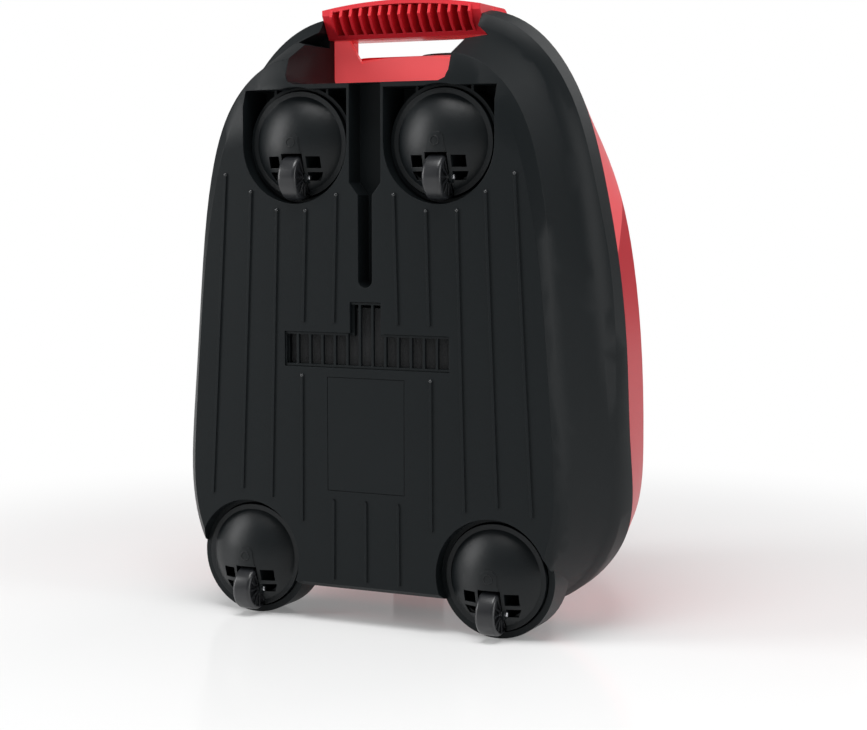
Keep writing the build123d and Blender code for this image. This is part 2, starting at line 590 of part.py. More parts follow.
def push_button(side):
    """Domed push button with a stem down to the board's switch."""
    x = side * BUTTON_X
    cap = rod("Y", (x, CONTROL_Z), BUTTON_R, TOP_Y - 4, TOP_Y + 6)
    top = [e for e in cap.edges() if e.center().Y > TOP_Y + 5]
    cap = fillet(top, 1.6)
    return cap + rod("Y", (x, CONTROL_Z), 2.5, BOARD_Y + 7, TOP_Y - 4)


def power_dial():
    """Suction control knob with a grip bar and its shaft."""
    knob = rod("Y", (0, CONTROL_Z), DIAL_R, TOP_Y + 2.4, TOP_Y + 6)
    bar = block((-2.6, 2.6), (TOP_Y + 5, TOP_Y + 11), (CONTROL_Z - DIAL_R + 1, CONTROL_Z + DIAL_R - 1))
    for i in range(24):
        a = math.radians(360 / 24 * i)
        knob -= rod("Y", (DIAL_R * math.sin(a), CONTROL_Z + DIAL_R * math.cos(a)), 0.7, TOP_Y, TOP_Y + 8)
    return knob + bar + rod("Y", (0, CONTROL_Z), 4.0, BOARD_Y + 7.2, TOP_Y + 3)


def control_board():
    """Circuit board with its dial socket and two switches."""
    board = block((-31, 31), (BOARD_Y - 1.6, BOARD_Y), (CONTROL_Z - 17, CONTROL_Z + 17))
    board += block((-8, 8), (BOARD_Y, BOARD_Y + 7), (CONTROL_Z - 8, CONTROL_Z + 8))
    for side in (1, -1):
        x = side * BUTTON_X
        board += block((x - 4, x + 4), (BOARD_Y, BOARD_Y + 3.7), (CONTROL_Z - 4, CONTROL_Z + 4))
        for z in (CONTROL_Z - POST_DZ, CONTROL_Z + POST_DZ):
            board -= rod("Y", (side * POST_X, z), 1.3, BOARD_Y - 3, BOARD_Y + 1)
    return board


def board_screws():
    screws = Part()
    for side in (1, -1):
        for z in (CONTROL_Z - POST_DZ, CONTROL_Z + POST_DZ):
            screws += rod("Y", (side * POST_X, z), 1.1, BOARD_Y - 1.6, BOARD_Y + 7)
            screws += rod("Y", (side * POST_X, z), 2.4, BOARD_Y - 3.2, BOARD_Y - 1.6)
    return screws


# ---------------------------------------------------------------- motor, drum and air path
MOTOR_LOW_Z, MOTOR_HIGH_Z = 46.0, 139.0
SEAL_T = BULKHEAD_Z - MOTOR_HIGH_Z


def bulkhead():
    """Wall between the bag compartment and the motor compartment."""
    slice_z = (BULKHEAD_Z, BULKHEAD_Z + BULKHEAD_T)
    room = Part() + (base_inner & block((-SPAN, SPAN), (0, RIM_Y), slice_z))
    room += ring_inner & block((-SPAN, SPAN), (RIM_Y, SEAM_Y - FLANGE_T), slice_z)
    upper = cover_inner & block((-SPAN, SPAN), (SEAM_Y + 0.5, 200), slice_z)
    seat = slab(COVER_FOOT, FLANGE_INSET + SNUG, SEAM_Y - FLANGE_T, SEAM_Y + 0.5)
    wall = room + upper + (seat & block((-SPAN, SPAN), (0, SPAN), slice_z))
    wall -= rod("Z", (MOTOR_X, MOTOR_Y), 30, BULKHEAD_Z - 1, BULKHEAD_Z + BULKHEAD_T + 1)
    return wall - duct_block(SNUG)


def duct_block(grow):
    return block((-60 - grow, 60 + grow), (-1, 26 + grow), (100, 199))


def exhaust_duct():
    """Duct behind the grille, open towards the motor compartment."""
    duct = block((-60, 60), (WALL, 26), (132, 199)) - block((-58, 58), (WALL - 1, 24), (130, 197))
    duct -= cross_shape(2.2, 0, 6.2)
    return duct - slot_shape(CUP_WALL + SNUG, 0, SLOT_DEPTH + CUP_WALL + SNUG)


def exhaust_filter():
    """Pleated exhaust filter pad over the grille."""
    pad = block((-57.8, 57.8), (6.2, 14.0), (148, 190))
    for i in range(22):
        pad -= block((-55 + 5 * i, -52.5 + 5 * i), (11, 15), (150, 188))
    return pad - slot_shape(CUP_WALL + SNUG, 0, SLOT_DEPTH + CUP_WALL + SNUG)


def motor_casing():
    """Motor can with cooling slots."""
    can = rod("Z", (MOTOR_X, MOTOR_Y), MOTOR_R, MOTOR_LOW_Z, MOTOR_HIGH_Z)
    can -= rod("Z", (MOTOR_X, MOTOR_Y), MOTOR_R - 2, MOTOR_LOW_Z + 2, MOTOR_HIGH_Z - 2)
    can -= rod("Z", (MOTOR_X, MOTOR_Y), 20, MOTOR_HIGH_Z - 3, MOTOR_HIGH_Z + 1)
    can -= rod("Z", (MOTOR_X, MOTOR_Y), 5 + 0.02, MOTOR_LOW_Z - 1, MOTOR_LOW_Z + 3)
    for i in range(8):
        slot = block((-3, 3), (MOTOR_R - 5, MOTOR_R + 5), (62, 92))
        can -= Pos(MOTOR_X, MOTOR_Y, 0) * Rot(0, 0, 45 * i) * slot
    return can


def motor_stator():
    """Laminated field core with two windings."""
    core = rod("Z", (MOTOR_X, MOTOR_Y), MOTOR_R - 2.1, 60, 96)
    core -= rod("Z", (MOTOR_X, MOTOR_Y), 21, 50, 100)
    core += rod("Z", (MOTOR_X, MOTOR_Y), 36, 96, 102) - rod("Z", (MOTOR_X, MOTOR_Y), 24, 95, 103)
    return core


def motor_rotor():
    """Armature, shaft and fan wheel, which turn together."""
    r = rod("Z", (MOTOR_X, MOTOR_Y), 4, MOTOR_LOW_Z + 3.2, 132)
    r += rod("Z", (MOTOR_X, MOTOR_Y), 20, 62, 94)
    r += rod("Z", (MOTOR_X, MOTOR_Y), 13, 50.2, 58)
    r += rod("Z", (MOTOR_X, MOTOR_Y), 37, 114, 116) + rod("Z", (MOTOR_X, MOTOR_Y), 9, 114, 132)
    for i in range(9):
        vane = block((-0.8, 0.8), (8, 37), (115.5, 128))
        r += Pos(MOTOR_X, MOTOR_Y, 0) * Rot(0, 0, 40 * i) * vane
    return r


def motor_bearing():
    """Bearing that carries the shaft's lower end in the can."""
    outer = rod("Z", (MOTOR_X, MOTOR_Y), 5, MOTOR_LOW_Z, MOTOR_LOW_Z + 3.2)
    outer += rod("Z", (MOTOR_X, MOTOR_Y), 9, MOTOR_LOW_Z + 2, MOTOR_LOW_Z + 3.2)
    return outer


def motor_front_seal():
    """Rubber ring between the motor and the bulkhead."""
    ring = rod("Z", (MOTOR_X, MOTOR_Y), MOTOR_R - 2, MOTOR_HIGH_Z, BULKHEAD_Z)
    return ring - rod("Z", (MOTOR_X, MOTOR_Y), 31, MOTOR_HIGH_Z - 1, BULKHEAD_Z + 1)


def motor_rear_mount():
    """Rubber cup and its pedestal under the motor."""
    cup = rod("Z", (MOTOR_X, MOTOR_Y), 22, MOTOR_LOW_Z - 8, MOTOR_LOW_Z)
    return cup - rod("Z", (MOTOR_X, MOTOR_Y), 12, MOTOR_LOW_Z - 3, MOTOR_LOW_Z + 1)


def motor_cradle():
    """Bracket from the base's floor that carries the motor's rubber mount and the drum's axle."""
    low_z = MOTOR_LOW_Z - 12
    bracket = block((MOTOR_X - 24, MOTOR_X + 24), (POCKET_DEPTH + CUP_WALL + 1.5, MOTOR_Y + 24),
                    (low_z, MOTOR_LOW_Z - 8))
    bracket += block((MOTOR_X - 24, MOTOR_X + 24), (POCKET_DEPTH + CUP_WALL + 1.5, POCKET_DEPTH + CUP_WALL + 4.5),
                     (low_z, 58))
    return bracket


def motor_filter():
    """Foam pad in a frame over the motor's intake."""
    low = BULKHEAD_Z + BULKHEAD_T
    pad = block((MOTOR_X - 36, MOTOR_X + 36), (MOTOR_Y - 36, MOTOR_Y + 36), (low, low + 9))
    return pad


def filter_frame():
    """Frame that clips the foam pad to the bulkhead."""
    low = BULKHEAD_Z + BULKHEAD_T
    frame = block((MOTOR_X - 39, MOTOR_X + 39), (MOTOR_Y - 39, MOTOR_Y + 39), (low, low + 11))
    frame -= block((MOTOR_X - 36 - SNUG, MOTOR_X + 36 + SNUG), (MOTOR_Y - 36 - SNUG, MOTOR_Y + 36 + SNUG),
                   (low - 1, low + 9 + SNUG))
    for i in range(4):
        frame -= block((MOTOR_X - 32 + 17 * i, MOTOR_X - 19 + 17 * i), (MOTOR_Y - 32, MOTOR_Y + 32), (low, low + 12))
    return frame


def cable_drum():
    """Empty cable drum: two spoked flanges on a hub."""
    at = (DRUM_X, DRUM_Z)
    drum = rod("Y", at, DRUM_R, DRUM_LOW_Y, DRUM_LOW_Y + 2) + rod("Y", at, DRUM_R, DRUM_HIGH_Y - 2, DRUM_HIGH_Y)
    drum += rod("Y", at, 24, DRUM_LOW_Y, DRUM_HIGH_Y)
    for i in range(6):
        hole = rod("Y", (0, 38), 8, DRUM_LOW_Y - 1, DRUM_HIGH_Y + 1)
        drum -= Pos(DRUM_X, 0, DRUM_Z) * Rot(0, 60 * i, 0) * hole
    return drum - rod("Y", at, 5 + RUN_FIT, DRUM_LOW_Y - 1, DRUM_HIGH_Y + 1)


def drum_axle():
    """Axle with a foot on the base's floor and a retaining cap."""
    at = (DRUM_X, DRUM_Z)
    axle = rod("Y", at, 5, WALL, DRUM_HIGH_Y + 3) + rod("Y", at, 14, WALL, WALL + 3)
    axle += rod("Y", at, 9, DRUM_LOW_Y - 6, DRUM_LOW_Y - 0.5)
    return axle + rod("Y", at, 9, DRUM_HIGH_Y + 0.5, DRUM_HIGH_Y + 3)


BRAKE_X, BRAKE_Z = 26.0, 139.0


def brake_lever():
    """Sprung lever whose shoe bears on the drum's rim."""
    low_y, high_y = DRUM_HIGH_Y + 4.0, DRUM_HIGH_Y + 8.0
    arm = plate_xz([(BRAKE_X - 4, BRAKE_Z + 3.5), (BRAKE_X + 42, BRAKE_Z + 3), (BRAKE_X + 42, BRAKE_Z - 1),
                    (BRAKE_X + 2, BRAKE_Z - 4), (BRAKE_X - 4, BRAKE_Z - 4)], low_y, high_y)
    arm -= rod("Y", (BRAKE_X, BRAKE_Z), 2 + RUN_FIT, low_y - 1, high_y + 1)
    shoe_z = DRUM_Z + DRUM_R + 0.6
    return arm + block((DRUM_X - 5, DRUM_X + 7), (DRUM_HIGH_Y - 2, high_y), (shoe_z, BRAKE_Z + 0.5))


def brake_pin():
    """Pin on a hanger under the bulkhead, on which the brake lever swings."""
    hanger_y = DRUM_HIGH_Y - 4
    pin = rod("Y", (BRAKE_X, BRAKE_Z), 2, hanger_y, DRUM_HIGH_Y + 9)
    return pin + block((BRAKE_X - 4, BRAKE_X + 4), (hanger_y - 4, hanger_y), (BRAKE_Z - 5, BULKHEAD_Z))


CABLE_X, CABLE_Y, GLAND_R = 62.0, 116.0, 9.0


def cable_gland():
    """Cable outlet in the rear end."""
    ring = rod("Z", (CABLE_X, CABLE_Y), GLAND_R - SNUG, 16, 36) + rod("Z", (CABLE_X, CABLE_Y), GLAND_R + 3, 14, 17)
    return ring - rod("Z", (CABLE_X, CABLE_Y), 5, 10, 40)


FOOT_X, FOOT_Y = (20.0, 44.0), (124.0, 152.0)
FOOT_T = 4.0


def foot_brackets():
    """Two standing brackets at the rear end, behind the rubber feet."""
    bracket = pair(FOOT_X, FOOT_Y, (FOOT_T, 40))
    return bracket - cover_outer


def rear_feet():
    """Rubber feet that the parked machine leans on."""
    feet = pair((FOOT_X[0] - 1, FOOT_X[1] + 1), (FOOT_Y[0] - 1, FOOT_Y[1] + 1), (0, FOOT_T))
    rims = [e for e in feet.edges() if abs(e.tangent_at(0).Z) > 0.9]
    return fillet(rims, 4)


# ---------------------------------------------------------------- bag
HOLDER_Z = 288.0


def bag_holder():
    """Upright carrier that the bag's plate hooks into."""
    low_y = POCKET_DEPTH + CUP_WALL + 1.5
    holder = block((-46, 46), (low_y, 168), (HOLDER_Z, HOLDER_Z + 4))
    holder -= rod("Z", (0, INLET_Y), 24, HOLDER_Z - 1, HOLDER_Z + 9)
    holder += pair((44, 46), (low_y, 168), (HOLDER_Z, HOLDER_Z + 8))
    return holder


def bag_plate():
    """Board plate of the dust bag, with its inlet hole."""
    plate = block((-43.5, 43.5), (92, 167), (HOLDER_Z + 4, HOLDER_Z + 7))
    return plate - rod("Z", (0, INLET_Y), INLET_R + 1, HOLDER_Z, HOLDER_Z + 10)


def dust_bag():
    """Part-filled dust bag, a plain soft solid."""
    bag = block((-74, 74), (POCKET_DEPTH + CUP_WALL + 2, 154), (174, HOLDER_Z - 0.5))
    return fillet(bag.edges(), 26)


def lid_seal():
    """Rubber strip between the ring's flange and the bag compartment."""
    strip = slab(COVER_FOOT, FLANGE_INSET + 0.3, SEAM_Y - FLANGE_T, SEAM_Y + 0.3, FLANGE_INSET + 3.5)
    strip = strip & block((-SPAN, SPAN), (0, SPAN), (SPLIT_Z + 2, 400))
    return strip


def shell_screws():
    """Screws that hold the ring down on the base."""
    screws = Part()
    for x, z in SHELL_SCREWS:
        for side in (1, -1):
            at = (side * (x + LUG_W / 2), z)
            screws += rod("Y", at, SCREW_R - 0.2, RIM_Y - LUG_T, RIM_Y + LUG_T)
            screws += rod("Y", at, 3.6, RIM_Y - LUG_T - 2.4, RIM_Y - LUG_T)
    return screws


NODES = {
    "base_shell": base_shell, "exhaust_grille": exhaust_grille, "rating_plate": rating_plate,
    "caster_studs": caster_studs, "body_ring": body_ring, "front_panel": front_panel,
    "handle_grip": handle_grip, "handle_cover": handle_cover, "lid": lid, "lid_latch": lid_latch,
    "inlet_collar": inlet_collar, "inlet_seal": inlet_seal, "rear_cover": rear_cover,
    "hinge_pin": hinge_pin, "control_panel": control_panel, "power_dial": power_dial,
    "control_board": control_board, "board_screws": board_screws, "bulkhead": bulkhead,
    "exhaust_duct": exhaust_duct, "exhaust_filter": exhaust_filter, "motor_casing": motor_casing,
    "motor_stator": motor_stator, "motor_rotor": motor_rotor, "motor_bearing": motor_bearing,
    "motor_front_seal": motor_front_seal, "motor_rear_mount": motor_rear_mount,
    "motor_cradle": motor_cradle, "motor_filter": motor_filter, "filter_frame": filter_frame,
    "cable_drum": cable_drum, "drum_axle": drum_axle, "brake_lever": brake_lever,
    "brake_pin": brake_pin, "cable_gland": cable_gland, "foot_brackets": foot_brackets,
    "rear_feet": rear_feet, "bag_holder": bag_holder, "bag_plate": bag_plate, "dust_bag": dust_bag,
    "lid_seal": lid_seal, "shell_screws": shell_screws,
}
for node, make in NODES.items():
    save(node, make())
for place, side, row in CASTERS:
    save(f"caster_housing_{place}", caster_housing(side, row))
    save(f"caster_wheel_{place}", caster_wheel(side, row))
    save(f"caster_axle_{place}", caster_axle(side, row))
for name, side in (("power_button", -1), ("rewind_button", 1)):
    save(name, push_button(side))
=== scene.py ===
import json
import math

import bmesh
import bpy
from mathutils import Matrix, Vector


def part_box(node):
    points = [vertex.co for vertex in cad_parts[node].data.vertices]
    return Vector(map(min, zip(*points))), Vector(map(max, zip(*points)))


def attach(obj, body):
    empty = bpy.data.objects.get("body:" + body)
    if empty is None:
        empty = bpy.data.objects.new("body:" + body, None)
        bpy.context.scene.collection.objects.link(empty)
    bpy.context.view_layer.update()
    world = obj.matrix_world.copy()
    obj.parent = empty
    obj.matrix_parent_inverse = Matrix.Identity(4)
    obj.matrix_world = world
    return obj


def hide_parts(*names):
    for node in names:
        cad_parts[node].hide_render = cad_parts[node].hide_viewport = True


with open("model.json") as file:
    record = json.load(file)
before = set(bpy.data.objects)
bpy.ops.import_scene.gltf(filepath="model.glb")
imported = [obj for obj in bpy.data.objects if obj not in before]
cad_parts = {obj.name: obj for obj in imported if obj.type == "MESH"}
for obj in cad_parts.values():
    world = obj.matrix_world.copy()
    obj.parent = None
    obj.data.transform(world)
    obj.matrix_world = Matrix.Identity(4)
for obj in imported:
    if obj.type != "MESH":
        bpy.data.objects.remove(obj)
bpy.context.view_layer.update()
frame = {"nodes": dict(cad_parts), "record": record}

# ------------------------------------------------------------------ camera, floor and light
# The machine stands on a white studio floor, seen from the front right of its underside.
# Large soft lamps light it from both sides and from above; the room itself is dim, so that
# the black plastic stays black, while the backdrop is white.
MM = 0.001
CENTRE_Y = 110.7          # the parts' drawings measure depth from the sole; this shifts it to the frame


def aim(direction):
    """Rotation that turns an object's -Z axis along a direction, with its top up."""
    return Vector(direction).to_track_quat("-Z", "Y")


camera = bpy.data.objects.new("camera", bpy.data.cameras.new("camera"))
camera.location = (0.4855, -1.0434, 0.2545)
camera.rotation_mode = "QUATERNION"
camera.rotation_quaternion = aim((-0.4258, 0.9001, -0.0926))
camera.data.lens = 74.65
camera.data.sensor_width = 36
bpy.context.collection.objects.link(camera)
bpy.context.scene.camera = camera


def lamp(name, place, size, watts, colour=(1, 1, 1)):
    """Rectangular soft lamp that points at the machine's middle."""
    light = bpy.data.lights.new(name, "AREA")
    light.shape = "RECTANGLE"
    light.size, light.size_y = size
    light.energy = watts
    light.color = colour
    body = bpy.data.objects.new(name, light)
    body.location = place
    body.rotation_mode = "QUATERNION"
    body.rotation_quaternion = aim(Vector((0, -0.03, 0.19)) - Vector(place))
    bpy.context.collection.objects.link(body)


lamp("left_softbox", (-1.5, -1.0, 0.75), (0.7, 1.3), 22)
lamp("right_softbox", (1.7, -0.2, 0.6), (0.6, 1.3), 11)
lamp("top_softbox", (0.1, -0.6, 1.8), (1.2, 0.8), 24)
lamp("back_softbox", (0.4, 1.7, 1.2), (1.2, 1.2), 8)

world = bpy.data.worlds.new("studio")
world.use_nodes = True
room = world.node_tree
seen = room.nodes.new("ShaderNodeLightPath")
level = room.nodes.new("ShaderNodeMapRange")
level.inputs["To Min"].default_value = 0.22
level.inputs["To Max"].default_value = 1.0
room.links.new(seen.outputs["Is Camera Ray"], level.inputs["Value"])
room.links.new(level.outputs["Result"], room.nodes["Background"].inputs["Strength"])
room.nodes["Background"].inputs["Color"].default_value = (1, 1, 1, 1)
bpy.context.scene.world = world
bpy.context.scene.view_settings.view_transform = "Standard"


def new_piece(name, bm, material, body):
    """Turns a finished bmesh into an object with its material, riding on a body."""
    mesh = bpy.data.meshes.new(name)
    bm.to_mesh(mesh)
    bm.free()
    piece = bpy.data.objects.new(name, mesh)
    bpy.context.collection.objects.link(piece)
    mesh.materials.append(material)
    if body:
        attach(piece, body)
    return piece


floor_bm = bmesh.new()
bmesh.ops.create_grid(floor_bm, x_segments=1, y_segments=1, size=6)
floor_paint = bpy.data.materials.new("floor_paint")
floor_paint.use_nodes = True
floor_nodes, floor_link = floor_paint.node_tree.nodes, floor_paint.node_tree.links.new
floor_shader = floor_nodes["Principled BSDF"]
floor_shader.inputs["Base Color"].default_value = (0.84, 0.84, 0.84, 1)
floor_shader.inputs["Roughness"].default_value = 0.14
floor_shader.inputs["Emission Color"].default_value = (1, 1, 1, 1)
floor_shader.inputs["Emission Strength"].default_value = 0.17
# Away from the machine the floor fades into the white backdrop.
from_middle = floor_nodes.new("ShaderNodeVectorMath")
from_middle.operation = "LENGTH"
floor_link(floor_nodes.new("ShaderNodeTexCoord").outputs["Object"], from_middle.inputs[0])
fade = floor_nodes.new("ShaderNodeMapRange")
fade.interpolation_type = "SMOOTHSTEP"
fade.inputs["From Min"].default_value = 0.22
fade.inputs["From Max"].default_value = 0.62
floor_link(from_middle.outputs["Value"], fade.inputs["Value"])
backdrop = floor_nodes.new("ShaderNodeEmission")
blend = floor_nodes.new("ShaderNodeMixShader")
floor_link(fade.outputs["Result"], blend.inputs["Fac"])
floor_link(floor_shader.outputs["BSDF"], blend.inputs[1])
floor_link(backdrop.outputs["Emission"], blend.inputs[2])
floor_link(blend.outputs["Shader"], floor_nodes["Material Output"].inputs["Surface"])
new_piece("floor", floor_bm, floor_paint, None)


# ------------------------------------------------------------------ base shell
def moulded_surface():
    """Node group: cloudy colour, moulded grain and softly rounded edges."""
    group = bpy.data.node_groups.new("moulded_surface", "ShaderNodeTree")
    for socket, kind in (("Colour", "NodeSocketColor"), ("Mottle", "NodeSocketFloat"),
                         ("Roughness", "NodeSocketFloat"), ("Grain", "NodeSocketFloat"),
                         ("Grain Scale", "NodeSocketFloat")):
        group.interface.new_socket(socket, in_out="INPUT", socket_type=kind)
    for socket, kind in (("Colour", "NodeSocketColor"), ("Roughness", "NodeSocketFloat"),
                         ("Normal", "NodeSocketVector")):
        group.interface.new_socket(socket, in_out="OUTPUT", socket_type=kind)
    nodes, link = group.nodes, group.links.new
    given, result = nodes.new("NodeGroupInput"), nodes.new("NodeGroupOutput")
    place = nodes.new("ShaderNodeTexCoord")
    cloud = nodes.new("ShaderNodeTexNoise")
    cloud.inputs["Scale"].default_value = 16
    cloud.inputs["Detail"].default_value = 4
    link(place.outputs["Object"], cloud.inputs["Vector"])
    centred = nodes.new("ShaderNodeMath")
    centred.operation = "SUBTRACT"
    centred.inputs[1].default_value = 0.5
    link(cloud.outputs["Fac"], centred.inputs[0])
    swing = nodes.new("ShaderNodeMath")
    swing.operation = "MULTIPLY_ADD"
    swing.inputs[2].default_value = 1.0
    link(centred.outputs[0], swing.inputs[0])
    link(given.outputs["Mottle"], swing.inputs[1])
    tint = nodes.new("ShaderNodeVectorMath")
    tint.operation = "SCALE"
    link(given.outputs["Colour"], tint.inputs[0])
    link(swing.outputs[0], tint.inputs["Scale"])
    link(tint.outputs[0], result.inputs["Colour"])
    speck = nodes.new("ShaderNodeTexNoise")
    speck.inputs["Detail"].default_value = 2
    link(place.outputs["Object"], speck.inputs["Vector"])
    link(given.outputs["Grain Scale"], speck.inputs["Scale"])
    vary = nodes.new("ShaderNodeMapRange")
    vary.inputs["To Min"].default_value = 0.85
    vary.inputs["To Max"].default_value = 1.15
    link(speck.outputs["Fac"], vary.inputs["Value"])
    rough = nodes.new("ShaderNodeMath")
    rough.operation = "MULTIPLY"
    link(vary.outputs["Result"], rough.inputs[0])
    link(given.outputs["Roughness"], rough.inputs[1])
    link(rough.outputs[0], result.inputs["Roughness"])
    edge = nodes.new("ShaderNodeBevel")
    edge.samples = 4
    edge.inputs["Radius"].default_value = 0.45 * MM
    bump = nodes.new("ShaderNodeBump")
    bump.inputs["Distance"].default_value = 0.2 * MM
    link(given.outputs["Grain"], bump.inputs["Strength"])
    link(speck.outputs["Fac"], bump.inputs["Height"])
    link(edge.outputs["Normal"], bump.inputs["Normal"])
    link(bump.outputs["Normal"], result.inputs["Normal"])
    return group


SURFACE = moulded_surface()


def finish(name, colour, roughness, grain=0.05, grain_mm=0.5, mottle=0.2, **sockets):
    """Material of a moulded or made part: the shared surface, with fixed shader values."""
    material = bpy.data.materials.new(name)
    material.use_nodes = True
    tree = material.node_tree
    shader = tree.nodes["Principled BSDF"]
    for socket, value in sockets.items():
        shader.inputs[socket.replace("_", " ")].default_value = value
    surface = tree.nodes.new("ShaderNodeGroup")
    surface.node_tree = SURFACE
    surface.inputs["Colour"].default_value = (*colour, 1)
    surface.inputs["Mottle"].default_value = mottle
    surface.inputs["Roughness"].default_value = roughness
    surface.inputs["Grain"].default_value = grain
    surface.inputs["Grain Scale"].default_value = 1 / (grain_mm * MM)
    tree.links.new(surface.outputs["Colour"], shader.inputs["Base Color"])
    tree.links.new(surface.outputs["Roughness"], shader.inputs["Roughness"])
    tree.links.new(surface.outputs["Normal"], shader.inputs["Normal"])
    return material


BODY_OF = {node: body for body, nodes in frame["record"]["behaviour"]["bodies"].items() for node in nodes}


def smooth_mesh(node, crease=32):
    """The CAD part's surface as one clean mesh, smooth across its curves and sharp at its edges."""
    source = frame["nodes"][node]
    bm = bmesh.new()
    bm.from_mesh(source.data)
    bm.transform(source.matrix_world)
    bmesh.ops.remove_doubles(bm, verts=bm.verts, dist=0.002 * MM)
    bmesh.ops.dissolve_limit(bm, angle_limit=math.radians(0.03), verts=bm.verts, edges=bm.edges)
    bmesh.ops.recalc_face_normals(bm, faces=bm.faces)
    for face in bm.faces:
        face.smooth = True
    for edge in bm.edges:
        edge.smooth = len(edge.link_faces) == 2 and edge.calc_face_angle() < math.radians(crease)
    return bm


def moulding(node, material, crease=32):
    """Finished copy of a CAD part, shown in its place."""
    piece = new_piece(node + "_finished", smooth_mesh(node, crease), material, BODY_OF[node])
    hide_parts(node)
    return piece


black_shell = finish("black_grained_plastic", (0.0070, 0.0090, 0.0100), 0.40, grain=0.32, grain_mm=0.55,
                     Specular_IOR_Level=0.13)
moulding("base_shell", black_shell)
moulding("exhaust_grille", black_shell)
plate_black = finish("plate_black", (0.0072, 0.0092, 0.0102), 0.42, grain=0.1, grain_mm=0.4,
                     Specular_IOR_Level=0.13)
moulding("rating_plate", plate_black)

# Small round ends of the sole's ribs: x, z on the right half; the left half mirrors them.
rib_gloss = finish("rib_end_plastic", (0.02, 0.022, 0.024), 0.22)
RIB_END_R = 1.15
ends_bm = bmesh.new()
for x, z in ((18.9, 256.3), (39.5, 247.0), (59.0, 247.3), (76.8, 258.1), (94.5, 268.3), (42.5, 149.0)):
    for side in (1, -1):
        at = Matrix.Translation(Vector((side * x, -CENTRE_Y - 0.3, z)) * MM)
        bmesh.ops.create_uvsphere(ends_bm, u_segments=14, v_segments=8, radius=RIB_END_R * MM, matrix=at)
for face in ends_bm.faces:
    face.smooth = True
new_piece("rib_ends", ends_bm, rib_gloss, "root")

# ------------------------------------------------------------------ casters
caster_black = finish("caster_plastic", (0.0065, 0.0082, 0.0092), 0.36, grain=0.42, grain_mm=0.45,
                      Specular_IOR_Level=0.22)
wheel_black = finish("wheel_plastic", (0.013, 0.014, 0.016), 0.30, grain=0.05, mottle=0.3)
axle_steel = finish("axle_steel", (0.50, 0.51, 0.53), 0.30, grain=0.05, Metallic=1.0)
stud_black = finish("stud_plastic", (0.015, 0.017, 0.018), 0.35)
moulding("caster_studs", stud_black)
PIVOT_RING_R, BEADS = 2.6, 36
for place, x, z in (("front_left", -47.0, 286.0), ("front_right", 47.0, 286.0),
                    ("rear_left", -80.7, 36.0), ("rear_right", 80.7, 36.0)):
    moulding(f"caster_housing_{place}", caster_black, 24)
    moulding(f"caster_wheel_{place}", wheel_black, 40)
    moulding(f"caster_axle_{place}", axle_steel)
    # Raised ring round the pivot, on the tongue of the dome, as a closed row of beads.
    ring_bm = bmesh.new()
    upright = Matrix.Rotation(math.radians(90), 4, "X")
    for i in range(BEADS):
        a = 2 * math.pi * i / BEADS
        centre = Vector((x + PIVOT_RING_R * math.cos(a), -CENTRE_Y - 4.55,
                         z + 1.0 + PIVOT_RING_R * math.sin(a))) * MM
        bmesh.ops.create_uvsphere(ring_bm, u_segments=6, v_segments=5, radius=0.45 * MM,
                                  matrix=Matrix.Translation(centre) @ upright)
    for face in ring_bm.faces:
        face.smooth = True
    new_piece(f"pivot_ring_{place}", ring_bm, caster_black, f"caster_{place}")

# ------------------------------------------------------------------ red ring, panel and handle
red_gloss = finish("red_gloss_plastic", (0.70, 0.020, 0.034), 0.26, grain=0.02, mottle=0.06,
                   Specular_IOR_Level=0.32, Coat_Weight=0.12, Coat_Roughness=0.1)
# Lighter, glossier copy of the red: a painted highlight for the ring's front side part.
red_painted_highlight = finish("red_painted_highlight_plastic", (0.86, 0.060, 0.075), 0.34, grain=0.03, mottle=0.06,
                   Specular_IOR_Level=0.5, Coat_Weight=0.3, Coat_Roughness=0.15)
# The wall behind the finger hole is painted lighter than the other reds and glows a little: painted light
# in place of the light that the studio lamps can't bring in under the handle.
red_wall_painted_light = finish("red_wall_painted_light_plastic", (1.0, 0.11, 0.12), 0.4, grain=0.03, mottle=0.05,
                    Emission_Color=(1.0, 0.10, 0.11, 1), Emission_Strength=0.3)
# Darker, less glossy copy of the red: painted shade for the ring's rear side part.
red_painted_shade = finish("red_painted_shade_plastic", (0.42, 0.008, 0.018), 0.34, grain=0.03, mottle=0.06,
                   Specular_IOR_Level=0.18)
red_deep = finish("red_recess_plastic", (0.68, 0.020, 0.032), 0.34, grain=0.03, mottle=0.08)

# The ring's sides change from a light front part to a darker rear one along a slanting line, where the real
# surface turns at a crease: the light front part is a painted highlight and the darker rear part is painted
# shade, both on one red plastic.
ring_bm = smooth_mesh("body_ring")
slant = Vector((0, -1.0, 28.0 / 27.0)).normalized()
start = Vector((0, 62 - CENTRE_Y, 222)) * MM
bmesh.ops.bisect_plane(ring_bm, geom=ring_bm.verts[:] + ring_bm.edges[:] + ring_bm.faces[:], dist=1e-6,
                       plane_co=start, plane_no=slant)
for face in ring_bm.faces:
    if (face.calc_center_median() - start).dot(slant) > 0:
        face.material_index = 1
ring = new_piece("body_ring_finished", ring_bm, red_painted_shade, BODY_OF["body_ring"])
ring.data.materials.append(red_painted_highlight)
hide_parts("body_ring")
# The front panel carries the painted light of the wall behind the finger hole.
moulding("front_panel", red_wall_painted_light)
moulding("handle_cover", red_gloss)
moulding("handle_grip", red_deep)

# ------------------------------------------------------------------ lid, latch and hose collar
moulding("lid", red_gloss)
gloss_black = finish("gloss_black_plastic", (0.012, 0.013, 0.014), 0.16, grain=0.02, Coat_Weight=0.3)
moulding("lid_latch", gloss_black)
moulding("inlet_collar", gloss_black)
rubber = finish("rubber", (0.02, 0.02, 0.02), 0.7, grain=0.3, grain_mm=0.8, Specular_IOR_Level=0.3)
moulding("inlet_seal", rubber)
moulding("lid_seal", rubber)

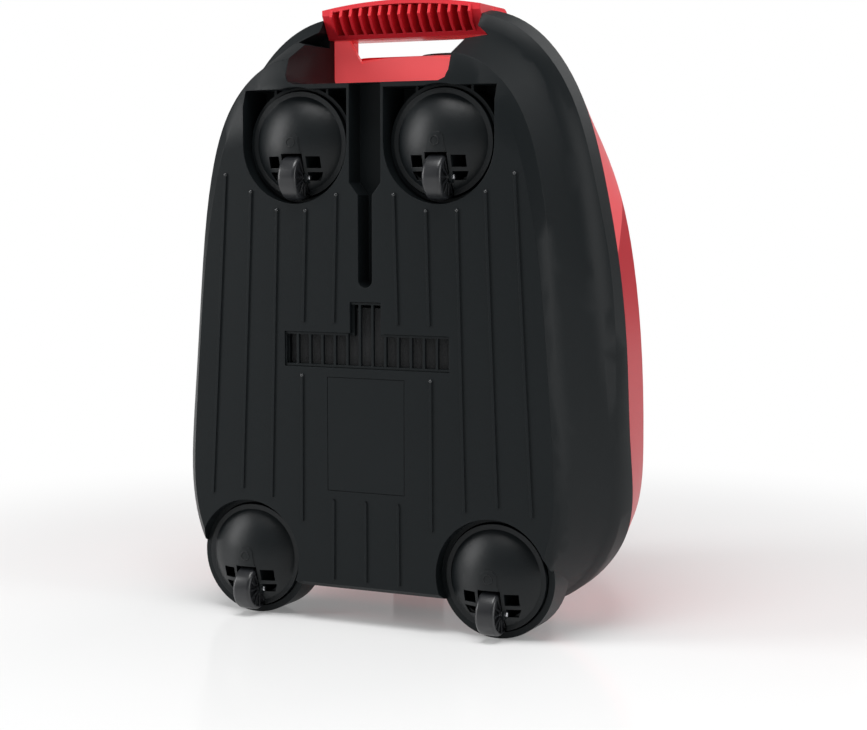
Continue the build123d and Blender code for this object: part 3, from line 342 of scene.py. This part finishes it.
# ------------------------------------------------------------------ rear cover, hinge and controls
moulding("rear_cover", red_gloss)
steel = finish("brushed_steel", (0.52, 0.53, 0.55), 0.32, grain=0.15, grain_mm=0.3, Metallic=1.0)
moulding("hinge_pin", steel)
for node in ("control_panel", "power_dial", "power_button", "rewind_button"):
    moulding(node, gloss_black)

# Pale pointer on the dial's grip bar.
pale = finish("pale_marking", (0.75, 0.75, 0.73), 0.5)
pointer_bm = bmesh.new()
bmesh.ops.create_cube(pointer_bm, size=1.0, matrix=Matrix.Translation(Vector((0, 232.1 - CENTRE_Y, 125.0)) * MM)
                      @ Matrix.Diagonal((1.4 * MM, 0.3 * MM, 6 * MM, 1)))
new_piece("dial_pointer", pointer_bm, pale, "dial_body")

# ------------------------------------------------------------------ rear end
moulding("cable_gland", black_shell)
moulding("foot_brackets", black_shell)
moulding("rear_feet", rubber)

# ------------------------------------------------------------------ motor, drum and air path
grey = finish("grey_plastic", (0.30, 0.31, 0.33), 0.45, grain=0.2, grain_mm=0.6)
for node in ("bulkhead", "exhaust_duct", "motor_cradle", "filter_frame", "cable_drum", "brake_lever",
             "bag_holder"):
    moulding(node, grey)
foam = finish("filter_foam", (0.70, 0.71, 0.73), 0.9, grain=1.0, grain_mm=1.6, mottle=0.5)
moulding("motor_filter", foam)
moulding("exhaust_filter", finish("dark_filter_fleece", (0.012, 0.013, 0.014), 0.9, grain=0.8, grain_mm=1.2))
for node in ("shell_screws", "board_screws", "motor_casing", "drum_axle", "brake_pin"):
    moulding(node, steel)
core = finish("laminated_core", (0.28, 0.27, 0.26), 0.45, grain=0.4, grain_mm=0.5, Metallic=0.8)
moulding("motor_stator", core)
moulding("motor_rotor", core)
moulding("motor_bearing", steel)
moulding("motor_front_seal", rubber)
moulding("motor_rear_mount", rubber)
moulding("control_board", finish("board_green", (0.03, 0.17, 0.08), 0.4, mottle=0.3))

# ------------------------------------------------------------------ dust bag
moulding("bag_plate", finish("grey_card", (0.50, 0.38, 0.26), 0.8, grain=0.5, grain_mm=0.9, mottle=0.3))
fleece = finish("nonwoven_fleece", (0.80, 0.79, 0.75), 0.9, grain=0.8, grain_mm=1.2, mottle=0.25,
                Sheen_Weight=0.3)
low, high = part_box("dust_bag")
low, high = Vector(low), Vector(high)
middle, half = (low + high) / 2, (high - low) / 2
bag_bm = bmesh.new()
bmesh.ops.create_cube(bag_bm, size=2.0)
bmesh.ops.subdivide_edges(bag_bm, edges=bag_bm.edges, cuts=47, use_grid_fill=True)
for vert in bag_bm.verts:
    x, y, z = vert.co
    # A pillow: round sides, with soft folds that run in from the corners.
    bulge = (abs(x) ** 5 + abs(y) ** 5 + abs(z) ** 5) ** (1 / 5)
    shape = Vector((x, y, z)) / bulge
    fold = 0.5 + 0.5 * math.sin(9 * shape.x + 5 * shape.z + 2 * math.sin(4 * shape.y))
    crumple = 0.5 + 0.5 * math.sin(23 * shape.z - 17 * shape.x + 11 * shape.y)
    depth = 1 - 0.035 * fold - 0.012 * crumple
    vert.co = middle + Vector((shape.x * half.x, shape.y * half.y, shape.z * half.z)) * depth * 0.99
for face in bag_bm.faces:
    face.smooth = True
bag = new_piece("dust_bag_fleece", bag_bm, fleece, BODY_OF["dust_bag"])
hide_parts("dust_bag")
